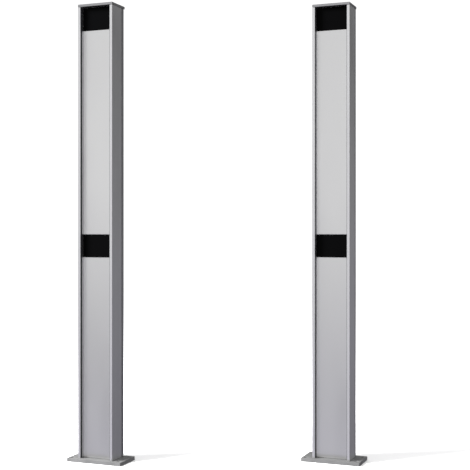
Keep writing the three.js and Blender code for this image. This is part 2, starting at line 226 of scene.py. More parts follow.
def brushed_steel():
    """Base plate: ground steel with crossing scratches and a faint cloudy stain."""
    material = new_material("brushed_steel", (0.23, 0.23, 0.23), 0.42, metallic=0.6)
    vary_color(material, add_noise(material, 25, detail=6), (0.195, 0.195, 0.195), (0.265, 0.265, 0.265))
    vary_roughness(material, add_noise(material, 60, detail=6), 0.36, 0.5)
    add_bump(material, add_noise(material, 900, (0.03, 1, 1), 2), 0.02 * MM, 0.6)
    add_bump(material, add_noise(material, 1800, detail=2), 0.01 * MM, 0.4)
    return material


def black_acrylic():
    """Gloss black sensor window, with faint wipe marks in its gloss."""
    material = new_material("black_acrylic", (0.0008, 0.0008, 0.0009), 0.08, specular=0.02)
    vary_roughness(material, add_noise(material, 30, (1, 1, 0.25), 6), 0.05, 0.16)
    add_bump(material, add_noise(material, 12, detail=1), 0.04 * MM, 0.3)
    return material


def zinc_plate():
    """Zinc-plated sheet, with the plating's faint spangle."""
    material = new_material("zinc_plate", (0.55, 0.56, 0.57), 0.34, metallic=0.6)
    vary_color(material, add_noise(material, 120, detail=4), (0.49, 0.50, 0.52), (0.61, 0.615, 0.62))
    vary_roughness(material, add_noise(material, 200, detail=4), 0.26, 0.44)
    add_bump(material, add_noise(material, 700, detail=3), 0.02 * MM, 0.4)
    return material


def chrome():
    """Polished lock metal with hairline wear."""
    material = new_material("chrome", (0.74, 0.74, 0.75), 0.14, metallic=1.0)
    vary_roughness(material, add_noise(material, 400, detail=5), 0.08, 0.24)
    add_bump(material, add_noise(material, 900, detail=2), 0.006 * MM, 0.4)
    return material


def black_plastic():
    """Moulded black plastic with a fine spark-eroded grain."""
    material = new_material("black_plastic", (0.022, 0.023, 0.025), 0.55)
    vary_color(material, add_noise(material, 80, detail=4), (0.018, 0.019, 0.021), (0.03, 0.031, 0.034))
    vary_roughness(material, add_noise(material, 300, detail=3), 0.48, 0.64)
    add_bump(material, add_noise(material, 2500, detail=2), 0.03 * MM, 0.6)
    return material


def dark_lens():
    """Infrared filter glass, almost black with a deep red cast."""
    material = new_material("dark_lens", (0.02, 0.003, 0.006), 0.06, coat=0.5)
    vary_color(material, add_noise(material, 90, detail=2), (0.016, 0.002, 0.004), (0.035, 0.004, 0.009))
    return material


def circuit_board():
    """Green solder mask over copper tracks, which show as slightly raised paler lines."""
    material = new_material("circuit_board", (0.01, 0.12, 0.045), 0.35)
    bricks = material.node_tree.nodes.new("ShaderNodeTexBrick")
    set_inputs(bricks, {"Scale": 260, "Mortar Size": 0.09, "Brick Width": 1.3, "Row Height": 0.7})
    tracks = mapped_onto(material, bricks, {"Rotation": (math.radians(90), 0, 0)})
    vary_color(material, tracks, (0.008, 0.10, 0.035), (0.03, 0.22, 0.09), 1.0)
    add_bump(material, tracks, 0.04 * MM, 0.6)
    vary_roughness(material, add_noise(material, 150, detail=4), 0.28, 0.45)
    return material


def terminal_plastic():
    """Green nylon of the plug-in terminals."""
    material = new_material("terminal_plastic", (0.03, 0.22, 0.08), 0.5)
    vary_color(material, add_noise(material, 120, detail=3), (0.025, 0.19, 0.07), (0.04, 0.26, 0.10))
    add_bump(material, add_noise(material, 1800, detail=2), 0.02 * MM, 0.5)
    return material


def cable_grey():
    """Matt grey cable sheath with slight drag marks."""
    material = new_material("cable_grey", (0.10, 0.105, 0.11), 0.6)
    vary_color(material, add_noise(material, 200, (1, 1, 0.1), 4), (0.085, 0.09, 0.095), (0.125, 0.13, 0.135))
    add_bump(material, add_noise(material, 1200, (1, 1, 0.2), 2), 0.03 * MM, 0.5)
    return material


def brass():
    """Machined brass, slightly tarnished."""
    material = new_material("brass", (0.55, 0.38, 0.14), 0.3, metallic=1.0)
    vary_color(material, add_noise(material, 150, detail=4), (0.42, 0.28, 0.10), (0.60, 0.43, 0.17))
    vary_roughness(material, add_noise(material, 300, detail=4), 0.22, 0.42)
    return material


MATERIALS = {
    make.__name__: make()
    for make in (
        satin_aluminium, panel_aluminium, dark_aluminium, brushed_steel, black_acrylic, zinc_plate, chrome,
        black_plastic, dark_lens, circuit_board, terminal_plastic, cable_grey, brass,
    )
}


# Shapes, made in a post's own frame

# Where a point (a, b) of a plane square to an axis lies in space, at a level along that axis
PUT = {
    "x": lambda a, b, level: (level, a, b),
    "y": lambda a, b, level: (a, level, b),
    "z": lambda a, b, level: (a, b, level),
}


def prism(outline, low, high, axis="z"):
    """A flat outline swept along an axis from one level to another."""
    shape = bmesh.new()
    ends = [[shape.verts.new(PUT[axis](a, b, level)) for a, b in outline] for level in (low, high)]
    for end in ends:
        shape.faces.new(end)
    for i, start in enumerate(ends[0]):
        shape.faces.new((ends[0][i - 1], start, ends[1][i], ends[1][i - 1]))
    bmesh.ops.recalc_face_normals(shape, faces=shape.faces)
    return shape


def block(low, high):
    outline = [(low[0], low[1]), (high[0], low[1]), (high[0], high[1]), (low[0], high[1])]
    return prism(outline, low[2], high[2])


def arc(a, b, radius, start, end, steps=10):
    """Points on an arc about (a, b), its angles in degrees."""
    angles = [math.radians(start + (end - start) * i / steps) for i in range(steps + 1)]
    return [(a + radius * math.cos(angle), b + radius * math.sin(angle)) for angle in angles]


def flat_sided(radius, angle, sides):
    """Distance from the middle of a regular polygon to its edge, where radius reaches its flats."""
    half_turn = math.pi / sides
    return radius / math.cos((angle + half_turn) % (2 * half_turn) - half_turn)


def turned(profile, centre, axis="z", steps=48):
    """A piece turned about an axis through centre, from (radius, height) pairs.

    A third number makes that ring a polygon with so many sides, as on a nut. A profile that neither starts
    nor ends at radius 0 closes on itself, as on a ring.
    """
    shape = bmesh.new()
    angles = [2 * math.pi * i / steps for i in range(steps)]
    rings = []
    for radius, height, *sides in profile:
        if radius == 0:
            rings.append([shape.verts.new(Vector(PUT[axis](0, 0, height)) + centre)] * steps)
            continue
        ring = []
        for angle in angles:
            reach = flat_sided(radius, angle, sides[0]) if sides else radius
            flat = (reach * math.cos(angle), reach * math.sin(angle))
            ring.append(shape.verts.new(Vector(PUT[axis](*flat, height)) + centre))
        rings.append(ring)
    pairs = list(zip(rings, rings[1:]))
    if profile[0][0] > 0:
        pairs.append((rings[-1], rings[0]))
    for lower, upper in pairs:
        for i in range(steps):
            corners = dict.fromkeys((lower[i - 1], lower[i], upper[i], upper[i - 1]))
            shape.faces.new(tuple(corners))
    bmesh.ops.recalc_face_normals(shape, faces=shape.faces)
    return shape


def rod(radius, centre, low, high, axis="z", steps=48):
    """A plain round tool for cutting holes."""
    return turned([(0, low), (radius, low), (radius, high), (0, high)], centre, axis, steps)


def joined(shapes):
    """Several separate solids as one shape."""
    whole = bmesh.new()
    for shape in shapes:
        mesh = as_mesh(shape, "part")
        whole.from_mesh(mesh)
        bpy.data.meshes.remove(mesh)
    return whole


def as_mesh(shape, name):
    mesh = bpy.data.meshes.new(name)
    shape.to_mesh(mesh)
    shape.free()
    return mesh


def cad_shape(post, part):
    """A CAD node's own shape, in the post's frame."""
    shape = bmesh.new()
    shape.from_mesh(frame["nodes"][post.name(part)].data)
    bmesh.ops.translate(shape, verts=shape.verts, vec=-post.place)
    return shape


def carved(shape, cutters):
    """Cuts closed shapes out of a closed shape."""
    body = bpy.data.objects.new("body", as_mesh(shape, "body"))
    tool = bpy.data.objects.new("tool", as_mesh(joined(cutters), "tool"))
    for item in (body, tool):
        put_in_scene(item)
    cut = body.modifiers.new("cut", "BOOLEAN")
    cut.operation = "DIFFERENCE"
    cut.solver = "EXACT"
    cut.object = tool
    result = bmesh.new()
    result.from_object(body, bpy.context.evaluated_depsgraph_get())
    for item in (body, tool):
        mesh = item.data
        bpy.data.objects.remove(item)
        bpy.data.meshes.remove(mesh)
    return result


SAME_POINT = 0.005 * MM
FLAT_ANGLE = math.radians(1)
SHARP_ANGLE = math.radians(32)


def softened(shape, radius, segments=2):
    """Rounds the sharp edges."""
    bmesh.ops.remove_doubles(shape, verts=shape.verts, dist=SAME_POINT)
    bmesh.ops.dissolve_limit(shape, angle_limit=FLAT_ANGLE, verts=shape.verts, edges=shape.edges)
    sharp = [edge for edge in shape.edges if edge.is_manifold and edge.calc_face_angle() > SHARP_ANGLE]
    bmesh.ops.bevel(shape, geom=sharp, offset=radius, offset_type="OFFSET", segments=segments,
                    profile=0.5, affect="EDGES", clamp_overlap=True)
    return shape


# Pieces

CRISP_ANGLE = math.radians(50)


def add_piece(post, name, shape, slot, beside):
    """Adds a shape as a piece that rides with the CAD node beside it, smooth except at its crisp edges."""
    mesh = as_mesh(shape, post.name(name))
    mesh.transform(Matrix.Translation(post.place))
    mesh.materials.append(MATERIALS[slot])
    mesh.shade_smooth()
    mesh.set_sharp_from_angle(angle=CRISP_ANGLE)
    piece = bpy.data.objects.new(post.name(name), mesh)
    put_in_scene(piece)
    weighted = piece.modifiers.new("weighted_normals", "WEIGHTED_NORMAL")
    weighted.keep_sharp = True
    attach(piece, post.body(beside))
    return piece


def stand_for(post, part, shape):
    """Adds a shape as the visible form of a CAD node."""
    piece = add_piece(post, f"{part}_shape", shape, SLOT_OF[post.name(part)], part)
    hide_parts(post.name(part))
    return piece


EDGE_RADII = in_mm(
    column=0.5, lower_panel=0.9, upper_panel=0.9, middle_window=0.5, top_window=0.5, lock_cam=0.3,
    chassis_plate=0.3, controller_board=0.2,
)


def add_plain_parts(post):
    """Parts whose CAD shape only needs its edges rounded."""
    for part, radius in EDGE_RADII.items():
        stand_for(post, part, softened(cad_shape(post, part), radius))


# Shares of the head's radius. A socket's floor dips from its rim to its middle, as a drill leaves it.
SOCKET_HEAD = {
    "side": 0.5, "top": 0.72, "crown": 0.86, "socket": 0.42, "floor_rim": 0.24, "floor_middle": 0.2,
}
FLAT_HEAD = {"cone_root": 0.5, "depth": 0.5, "socket": 0.42, "floor_rim": -0.342, "floor_middle": -0.38}


def screw(centre, axis, way, radius):
    """A domed head with a hexagon socket. It stands on centre and points way (+1 or -1) along its axis."""
    head = {part: share * radius for part, share in SOCKET_HEAD.items()}
    profile = [
        (0, 0), (radius, 0), (radius, head["side"]), (head["crown"], head["top"]),
        (head["socket"], head["top"], 6), (head["socket"], head["floor_rim"], 6),
        (0, head["floor_middle"]),
    ]
    return turned([(reach, way * height, *sides) for reach, height, *sides in profile], centre, axis)


def sunk_screw(centre, radius):
    """A countersunk screw head with a hexagon socket, its rim level with centre and its face upward."""
    head = {part: share * radius for part, share in FLAT_HEAD.items()}
    profile = [
        (0, -head["depth"]), (head["cone_root"], -head["depth"]), (radius, 0),
        (head["socket"], 0, 6), (head["socket"], head["floor_rim"], 6), (0, head["floor_middle"]),
    ]
    return turned(profile, centre)


def add_screws(post, name, places, radius, beside):
    """Equal zinc-plated screws whose heads face the post's back."""
    heads = [screw(place, "y", 1, radius) for place in places]
    add_piece(post, name, joined(heads), "zinc_plate", beside)


def corner_places(low, high, inset, level):
    """Places a little way in from the four corners of a plate that faces Y, at one level on Y."""
    return [
        Vector((x, level, z))
        for x in (low.x + inset, high.x - inset)
        for z in (low.z + inset, high.z - inset)
    ]


# The recess

PANEL_GAP = 0.3 * MM  # between a panel's side and the lip's inner wall
# Black strips on the lips' inner walls, which paint the shade that falls inside the recess
SHADE_STRIP = in_mm(
    thickness=0.8, width=12, glue=0.2, rounding=0.2,
    set_back=0.6,  # from the lips' front edges
    from_end=1,  # of the column
)


def add_painted_shade_strips(post):
    """Black strips on both lips' inner walls, along their front edges: painted shade for those shadowed
    walls.
    """
    column_low, column_high = post.span("column")
    panel_low, panel_high = post.span("lower_panel")
    front = column_low.y + SHADE_STRIP["set_back"]
    back = front + SHADE_STRIP["width"]
    strips = []
    for wall, way in ((panel_low.x - PANEL_GAP, 1), (panel_high.x + PANEL_GAP, -1)):
        near, far = sorted((wall + way * SHADE_STRIP["glue"], wall + way * (SHADE_STRIP["glue"] + SHADE_STRIP["thickness"])))
        bottom, top = column_low.z + SHADE_STRIP["from_end"], column_high.z - SHADE_STRIP["from_end"]
        strips.append(softened(block((near, front, bottom), (far, back, top)), SHADE_STRIP["rounding"]))
    # The strips are painted shade, not a real part of the column
    painted_strips = add_piece(post, "edge_trims", joined(strips), "black_plastic", "column")
    painted_strips.visible_glossy = False  # painted shade; a mirrored strip beside each real one would make it look twice as wide


# The foot

ANCHOR_RADIUS = 6 * MM
ANCHOR_CHAMFER = 1.5 * MM
PLATE_CORNER = 3 * MM
PLATE_ROUNDING = 0.7 * MM
CABLE_HOLE_RADIUS = 12 * MM
FOOT = in_mm(sheet=5, rounding=0.5, screw=5, screw_across=35, screw_drop=16)
WELD = in_mm(size=3.2, pitch=1.6, sink=0.2)
WELD_RIPPLE = 0.1  # share of the weld's size
WELD_STEPS = 3  # to a ripple


def rounded_rectangle(low, high, front_corner, back_corner):
    """An outline between two corners, its front and its back corners rounded by their own radii."""
    points = []
    corners = ((high, low, front_corner, -90), (high, high, back_corner, 0),
               (low, high, back_corner, 90), (low, low, front_corner, 180))
    for across, along, radius, start in corners:
        x = across.x - radius if across is high else across.x + radius
        y = along.y - radius if along is high else along.y + radius
        if radius > 0:
            points += arc(x, y, radius, start, start + 90)
        else:
            points.append((x, y))
    return points


def add_base_plate(post):
    """The plate with its bevelled anchor holes and the hole that the cable comes up through."""
    low, high = post.span("base_plate")
    plate = prism(rounded_rectangle(low, high, PLATE_CORNER, PLATE_CORNER), low.z, high.z)
    reach = (high.z - low.z) / 2 + MM
    sink = ANCHOR_RADIUS + ANCHOR_CHAMFER
    bevelled = [
        (0, -reach), (ANCHOR_RADIUS, -reach), (ANCHOR_RADIUS, high.z / 2 - ANCHOR_CHAMFER),
        (sink, high.z / 2), (sink, reach), (0, reach),
    ]
    tools = [
        turned(bevelled, Vector((*post.opening(f"anchor_hole_{along}_{across}").xy, high.z / 2)))
        for along in ("front", "back")
        for across in ("left", "right")
    ]
    entry = Vector((*post.opening("cable_entry").xy, high.z / 2))
    tools.append(rod(CABLE_HOLE_RADIUS, entry, -reach, reach))
    stand_for(post, "base_plate", softened(carved(plate, tools), PLATE_ROUNDING, 3))


def add_foot_bracket(post):
    """The bracket that holds the column, with its two screws and its weld."""
    low, high = post.span("foot_bracket")
    stand_for(post, "foot_bracket", softened(cad_shape(post, "foot_bracket"), FOOT["rounding"]))
    across, level = FOOT["screw_across"], high.z - FOOT["screw_drop"]
    places = [Vector((x, low.y + FOOT["sheet"], level)) for x in (-across, across)]
    add_screws(post, "foot_screws", places, FOOT["screw"], "foot_bracket")
    add_piece(post, "foot_weld", weld_bead(low, high), "brushed_steel", "foot_bracket")


def weld_bead(low, high):
    """A rippled fillet weld along the bracket's back edge, where it meets the plate."""
    length, floor = high.x - low.x, low.z - WELD["sink"]
    count = int(length / WELD["pitch"] * WELD_STEPS)
    shape = bmesh.new()
    rings = []
    for i in range(count + 1):
        x = low.x + length * i / count
        leg = WELD["size"] * (1 + WELD_RIPPLE * math.cos(2 * math.pi * (x - low.x) / WELD["pitch"]))
        section = [(high.y, floor), (high.y + leg, floor)]
        section += arc(high.y, floor, leg, 12, 78, 4) + [(high.y, low.z + leg)]
        rings.append([shape.verts.new((x, y, z)) for y, z in section])
    for first, second in zip(rings, rings[1:]):
        for i, start in enumerate(first):
            shape.faces.new((first[i - 1], start, second[i], second[i - 1]))
    shape.faces.new(rings[0])
    shape.faces.new(rings[-1])
    bmesh.ops.recalc_face_normals(shape, faces=shape.faces)
    return shape


GLAND = in_mm(
    bore=6.4, thread=8, dome=8, neck_depth=1.2, nut_depth=0.4, way_in=5, dome_edge=0.8, bore_edge=0.6,
    rounding=0.25, insert_foot=2, insert_rim=1.4, insert_mouth=2, insert_rounding=0.3,
    seat=8,  # from the thread's lower end up to the foot bracket
)
GLAND_LEVELS = in_mm(body_top=5, neck_foot=5.6, neck_top=6.4, nut_foot=7, nut_top=14)  # over its seat


def add_cable_gland(post):
    """A hexagonal body, a clamping nut with a ribbed dome, and a rubber insert round the cable's way in."""
    low, high = post.span("cable_gland")
    centre = post.foot("cable_gland")
    bore, thread, dome = GLAND["bore"], GLAND["thread"], GLAND["dome"]
    seat, top = GLAND["seat"], high.z - low.z
    hexagon = (high.x - low.x) / 2 * math.cos(math.pi / 6)
    neck, nut = hexagon - GLAND["neck_depth"], hexagon - GLAND["nut_depth"]
    edge = GLAND["dome_edge"]
    body_top, neck_foot, neck_top, nut_foot, nut_top = (seat + rise for rise in GLAND_LEVELS.values())
    body = [
        (bore, 0), (thread, 0), (thread, seat), (hexagon, seat, 6), (hexagon, body_top, 6),
        (neck, neck_foot), (neck, neck_top), (nut, nut_foot, 12), (nut, nut_top, 12),
        (dome + edge, top - 3 * MM), (dome, top - 1 * MM), (bore + edge, top),
        (bore, top - GLAND["bore_edge"]),
    ]
    stand_for(post, "cable_gland", softened(turned(body, centre), GLAND["rounding"]))
    way_in, foot = GLAND["way_in"], GLAND["insert_foot"]
    rim, mouth = top - GLAND["insert_rim"], top - GLAND["insert_mouth"]
    insert = [(way_in, foot), (bore, foot), (bore, rim), (way_in, mouth)]
    rubber = softened(turned(insert, centre), GLAND["insert_rounding"])
    add_piece(post, "gland_insert", rubber, "black_plastic", "cable_gland")


STUD = in_mm(
    washer=5.4, washer_height=1, nut=4.6, nut_top=5, shank=3, thread_foot=5.3, thread_start=5.6,
    pitch=0.8,
)
THREAD_ROOT, STUD_TIP = 0.84, 0.8  # shares of the shank's radius


def add_earth_stud(post):
    """A threaded stud with a washer under its hexagon nut."""
    low, high = post.span("earth_stud")
    washer, nut, shank, pitch = STUD["washer"], STUD["nut"], STUD["shank"], STUD["pitch"]
    seat, nut_top = STUD["washer_height"], STUD["nut_top"]
    tip = high.z - low.z
    profile = [(0, 0), (washer, 0), (washer, seat), (nut, seat, 6), (nut, nut_top, 6)]
    profile.append((shank, STUD["thread_foot"]))
    height = STUD["thread_start"]
    while height + 2 * pitch < tip:
        profile += [(shank, height), (THREAD_ROOT * shank, height + pitch / 2)]
        height += pitch
    profile += [(STUD_TIP * shank, tip), (0, tip)]
    stand_for(post, "earth_stud", turned(profile, post.foot("earth_stud")))


# The cap

CAP_SCREW = in_mm(radius=3.6, from_side=4.5, from_front=11.65, sink=0.2)
COUNTERSINK = {"depth": 0.7, "root": 0.5, "mouth": 1.06}  # shares of the cap screw's radius
CAP_ROUNDING = 0.8 * MM


def add_top_cap(post):
    """The lid with a countersunk screw over each of the column's lips."""
    low, high = post.span("top_cap")
    inset, setback = CAP_SCREW["from_side"], CAP_SCREW["from_front"]
    places = [Vector((x, low.y + setback, high.z)) for x in (low.x + inset, high.x - inset)]
    radius = CAP_SCREW["radius"]
    depth, root, mouth = (share * radius for share in COUNTERSINK.values())
    cone = [(0, -depth), (root, -depth), (mouth, 0), (mouth, MM), (0, MM)]
    lid = carved(cad_shape(post, "top_cap"), [turned(cone, place) for place in places])
    stand_for(post, "top_cap", softened(lid, CAP_ROUNDING))
    sunk = Vector((0, 0, CAP_SCREW["sink"]))
    heads = [sunk_screw(place - sunk, radius) for place in places]
    add_piece(post, "cap_screws", joined(heads), "zinc_plate", "top_cap")


# The rear door with its pivots and its lock

DOOR = in_mm(skin=2, corner=10, lock_hole=7.8, pivot_hole=2.8, rounding=0.4)
SEAL = in_mm(
    from_side=4.8, from_end=2.6, bulb=1.6, foot=0.5, clip=3.6, glue=0.1,
    overhang=0.3,  # of the bulb's middle, past the side wall's edge
)


def add_rear_door(post):
    """A shallow tray with rounded back corners, holes for its pivots and its lock, and two seals."""
    low, high = post.span("rear_door")
    skin = Vector([DOOR["skin"]] * 3)
    over = 2 * DOOR["skin"]
    inner_low = low + Vector((skin.x, -over, skin.z))
    inner_high = high - skin
    outside = prism(rounded_rectangle(low, high, 0, DOOR["corner"]), low.z, high.z)
    inner_outline = rounded_rectangle(inner_low, inner_high, 0, DOOR["corner"] - DOOR["skin"])
    tools = [prism(inner_outline, inner_low.z, inner_high.z)]
    pin = post.centre("upper_pivot_pin")
    for level in (low.z, high.z):
        tools.append(rod(DOOR["pivot_hole"], Vector((pin.x, pin.y, level)), -over, over))
    lock = post.centre("lock_body")
    tools.append(rod(DOOR["lock_hole"], Vector((lock.x, high.y, lock.z)), -over, over, "y"))
    hollow = carved(outside, tools[:1])
    stand_for(post, "rear_door", softened(carved(hollow, tools[1:]), DOOR["rounding"]))
    add_door_seals(post, low, high)


def add_door_seals(post, low, high):
    """Rubber bulb seals inside the door's side walls, which close the gap to the column."""
    bulb, start = SEAL["bulb"], low.y - SEAL["overhang"]
    foot, clip = start + SEAL["foot"], start + SEAL["clip"]
    strips = []
    for side in (-1, 1):
        wall = side * (high.x - DOOR["skin"] - SEAL["glue"])
        middle = side * (high.x - SEAL["from_side"])
        outline = [(middle + side * a, start + b) for a, b in arc(0, 0, bulb, 180, 350, 14)]
        outline += [(wall, foot), (wall, clip), (middle - side * bulb, clip)]
        strips.append(prism(outline, low.z + SEAL["from_end"], high.z - SEAL["from_end"]))
    add_piece(post, "door_seals", joined(strips), "black_plastic", "rear_door")


PIN = in_mm(radius=2.5, shelf=6, chamfer=0.5, clearance=0.3)


def add_lower_pivot_pin(post):
    """A pin that stands in the plate, with the collar that carries the door's weight."""
    low, high = post.span("lower_pivot_pin")
    pin, shelf, chamfer = PIN["radius"], PIN["shelf"], PIN["chamfer"]
    collar, tall = (high.x - low.x) / 2, high.z - low.z
    rise = post.span("rear_door")[0].z - PIN["clearance"] - low.z
    profile = [
        (0, 0), (pin, 0), (pin, shelf), (collar - chamfer, shelf), (collar, shelf + chamfer),
        (collar, rise - chamfer), (collar - chamfer, rise), (pin, rise), (pin, tall - chamfer),
        (pin - chamfer, tall), (0, tall),
    ]
    stand_for(post, "lower_pivot_pin", turned(profile, post.foot("lower_pivot_pin")))


def add_upper_pivot_pin(post):
    """A pin from the door's top up into the cap, with its head inside the door."""
    low, high = post.span("upper_pivot_pin")
    pin, shelf, chamfer = PIN["radius"], PIN["shelf"], PIN["chamfer"]
    collar, tall = (high.x - low.x) / 2, high.z - low.z
    profile = [
        (0, 0), (collar - chamfer, 0), (collar, chamfer), (collar, shelf - chamfer),
        (collar - chamfer, shelf), (pin, shelf), (pin, tall - chamfer), (pin - chamfer, tall),
        (0, tall),
    ]
    stand_for(post, "upper_pivot_pin", turned(profile, post.foot("upper_pivot_pin")))


LOCK = in_mm(
    bore=4.8, barrel=7.5, end_chamfer=0.5, nut=10.4, nut_height=5, nut_gap=0.2, thread_gap=0.1,
    nut_rounding=0.4,
    rim_foot=0.3,  # over the door's back face
)
PLUG = in_mm(core=4.5, shank=3, shoulder=1, chamfer=0.4, screw=4.6, screw_sink=0.05)
KEYWAY = in_mm(half_width=0.7, half_height=3, depth=8, ward=1.1)


def add_lock(post):
    """A cam lock: a barrel through the door with a domed rim, its nut inside the door, its keyed plug."""
    low, high = post.span("lock_body")
    middle = post.centre("lock_body")
    door_back = post.span("rear_door")[1].y
    centre = Vector((middle.x, door_back, middle.z))
    bore, barrel, rim = LOCK["bore"], LOCK["barrel"], (high.x - low.x) / 2
    end, top, chamfer = low.y - door_back, high.y - door_back, LOCK["end_chamfer"]
    body = [
        (bore, end), (barrel - chamfer, end), (barrel, end + chamfer),
        (barrel, LOCK["rim_foot"]), (rim - 0.3 * MM, LOCK["rim_foot"]), (rim, 0.7 * MM),
        (rim - 0.2 * MM, 1.2 * MM), (rim - 1.2 * MM, top - 0.3 * MM), (rim - 2.4 * MM, top),
        (bore + 0.9 * MM, top), (bore, top - 0.5 * MM),
    ]
    stand_for(post, "lock_body", turned(body, centre, "y"))
    add_piece(post, "lock_nut", lock_nut(centre), "zinc_plate", "lock_body")
    add_lock_plug(post, centre)


def lock_nut(centre):
    """The hexagon nut that clamps the barrel to the door's skin from inside."""
    top = -DOOR["skin"] - LOCK["nut_gap"]
    foot = top - LOCK["nut_height"]
    thread, flats = LOCK["barrel"] + LOCK["thread_gap"], LOCK["nut"]
    profile = [(thread, foot), (flats, foot, 6), (flats, top, 6), (thread, top)]
    return softened(turned(profile, centre, "y"), LOCK["nut_rounding"])


def add_lock_plug(post, centre):
    """The plug with its keyway, and the screw that holds the cam on its inner end."""
    low, high = post.span("lock_plug")
    cam_high = post.span("lock_cam")[1]
    core, shank, chamfer = PLUG["core"], PLUG["shank"], PLUG["chamfer"]
    end, face = low.y - centre.y, high.y - centre.y
    shoulder = cam_high.y + PLUG["shoulder"] - centre.y
    profile = [
        (0, end), (shank, end), (shank, shoulder), (core, shoulder), (core, face - chamfer),
        (core - chamfer, face), (0, face),
    ]
    floor, mouth = face - KEYWAY["depth"], face + MM
    across = Vector((KEYWAY["half_width"], 0, KEYWAY["half_height"]))
    slot = block(centre - across + Vector((0, floor, 0)), centre + across + Vector((0, mouth, 0)))
    ward = rod(KEYWAY["ward"], centre, floor, mouth, "y", 24)
    stand_for(post, "lock_plug", carved(carved(turned(profile, centre, "y"), [slot]), [ward]))
    tip = Vector((centre.x, low.y - PLUG["screw_sink"], centre.z))
    add_piece(post, "lock_cam_screw", screw(tip, "y", -1, PLUG["screw"]), "zinc_plate", "lock_plug")


# The sensor modules

BRACKET = in_mm(sheet=2, rounding=0.4)
BRACKET_SCREW = in_mm(radius=3.2, inset=7)
HOUSING = in_mm(half_width=32, seam=4, groove=0.8, groove_depth=0.6, rounding=0.3)
HOUSING_SCREW = in_mm(radius=2.4, inset=5)
LENS_CROWN = 2 * MM
BEZEL = in_mm(width=3.2, height=2.2, step=0.7, gap=0.2, rim=0.1)


def add_sensor(post, place):
    """A sensor module in its bracket, which four screws hold to the column."""
    bracket, housing, lens = (f"{place}_sensor_{piece}" for piece in ("bracket", "housing", "lens"))
    stand_for(post, bracket, softened(cad_shape(post, bracket), BRACKET["rounding"]))
    low, high = post.span(bracket)
    places = corner_places(low, high, BRACKET_SCREW["inset"], low.y + BRACKET["sheet"])
    add_screws(post, f"{place}_bracket_screws", places, BRACKET_SCREW["radius"], bracket)
    add_sensor_housing(post, place, housing)
    add_sensor_lens(post, place, lens)


def add_sensor_housing(post, place, housing):
    """A moulded box with the seam of its lid running round it, and a screw in each corner of its back."""
    low, high = post.span(housing)
    middle = post.centre(housing)
    across = Vector((HOUSING["half_width"], 0, 0))
    box_low = Vector((middle.x, 0, low.z)) - across
    box_high = Vector((middle.x, 0, high.z)) + across
    seam = middle.y + HOUSING["seam"]
    body = carved(cad_shape(post, housing), [groove_round(box_low, box_high, seam)])
    stand_for(post, housing, softened(body, HOUSING["rounding"]))
    places = corner_places(box_low, box_high, HOUSING_SCREW["inset"], high.y)
    add_screws(post, f"{place}_housing_screws", places, HOUSING_SCREW["radius"], housing)


def groove_round(low, high, level):
    """The cutter for a groove round a box that lies along Y, its middle at one level on Y."""
    reach, depth = HOUSING["groove"] / 2, HOUSING["groove_depth"]
    outside = block((low.x - MM, level - reach, low.z - MM), (high.x + MM, level + reach, high.z + MM))
    core = block((low.x + depth, level - MM, low.z + depth), (high.x - depth, level + MM, high.z - depth))
    return carved(outside, [core])


def add_sensor_lens(post, place, lens):
    """A domed lens in a stepped bezel."""
    low, high = post.span(lens)
    middle = post.centre(lens)
    centre = Vector((middle.x, high.y, middle.z))
    radius, depth = (high.x - low.x) / 2, high.y - low.y
    crown = [math.radians(angle) for angle in range(0, 90, 10)]
    dome = [(radius * math.cos(a), LENS_CROWN * (1 - math.sin(a)) - depth) for a in crown]
    stand_for(post, lens, turned([(0, 0), (radius, 0)] + dome + [(0, -depth)], centre, "y"))
    add_piece(post, f"{place}_lens_bezel", turned(bezel_profile(radius), centre, "y"), "black_plastic", lens)


def bezel_profile(radius):
    """A ring round a lens of this radius, its front edges stepped back."""
    inner = radius + BEZEL["gap"]
    outer = inner + BEZEL["width"]
    crest, step, rim = -BEZEL["height"], BEZEL["step"], BEZEL["rim"]
    return [
        (inner, rim), (outer, rim), (outer, crest + step), (outer - step, crest),
        (inner + step, crest), (inner, crest + step),
    ]


# The electronics

SCREW_RADIUS = in_mm(chassis=3.2, board=2.6, supply=2.6)
SCREW_INSET = in_mm(chassis=10, board=6, supply=7)
SUPPLY_GAP = 0.3 * MM  # between the chassis plate and the power supply


def add_chassis_screws(post):
    """A screw over each of the chassis plate's spacers that the power supply leaves free."""
    low, high = post.span("chassis_plate")
    back = post.span("power_supply")[0].y - SUPPLY_GAP
    places = corner_places(low, high, SCREW_INSET["chassis"], back)
    add_screws(post, "chassis_screws", places[1:], SCREW_RADIUS["chassis"], "chassis_plate")


BOARD_PARTS = {
    # width, height and depth in mm, then the middle of each copy, across and up from the board's middle
    "processor": ((14, 14, 1.6), [(-12, 12)]),
    "memory_chips": ((8, 6, 1.4), [(-30, 22), (-30, 10), (8, 22)]),
    "relays": ((15, 19, 14), [(-26, -24), (-6, -24), (14, -24)]),
    "cable_headers": ((10, 8, 4), [(34, 57), (20, 41)]),
    "switch_bank": ((16, 8, 4), [(-26, 46)]),
    "small_parts": ((2, 1.2, 0.7), [(-30 + 5 * i, -4 + 3 * (i % 2)) for i in range(13)]),
}
BOARD_PART_ROUNDING = 0.12  # share of the part's smallest side
CAPACITOR_LEVELS = (-20 * MM, -6 * MM, 8 * MM)
CAPACITOR = in_mm(across=33, radius=5, height=12.6, foot=1.5, groove=0.4, edge=0.6)


def board_part(size, x, y, z):
    """A block of this size in mm that stands on the board's face at (x, y, z)."""
    width, height, depth = (value * MM for value in size)
    solid = block((x - width / 2, y, z - height / 2), (x + width / 2, y + depth, z + height / 2))
    return softened(solid, BOARD_PART_ROUNDING * min(width, height, depth))


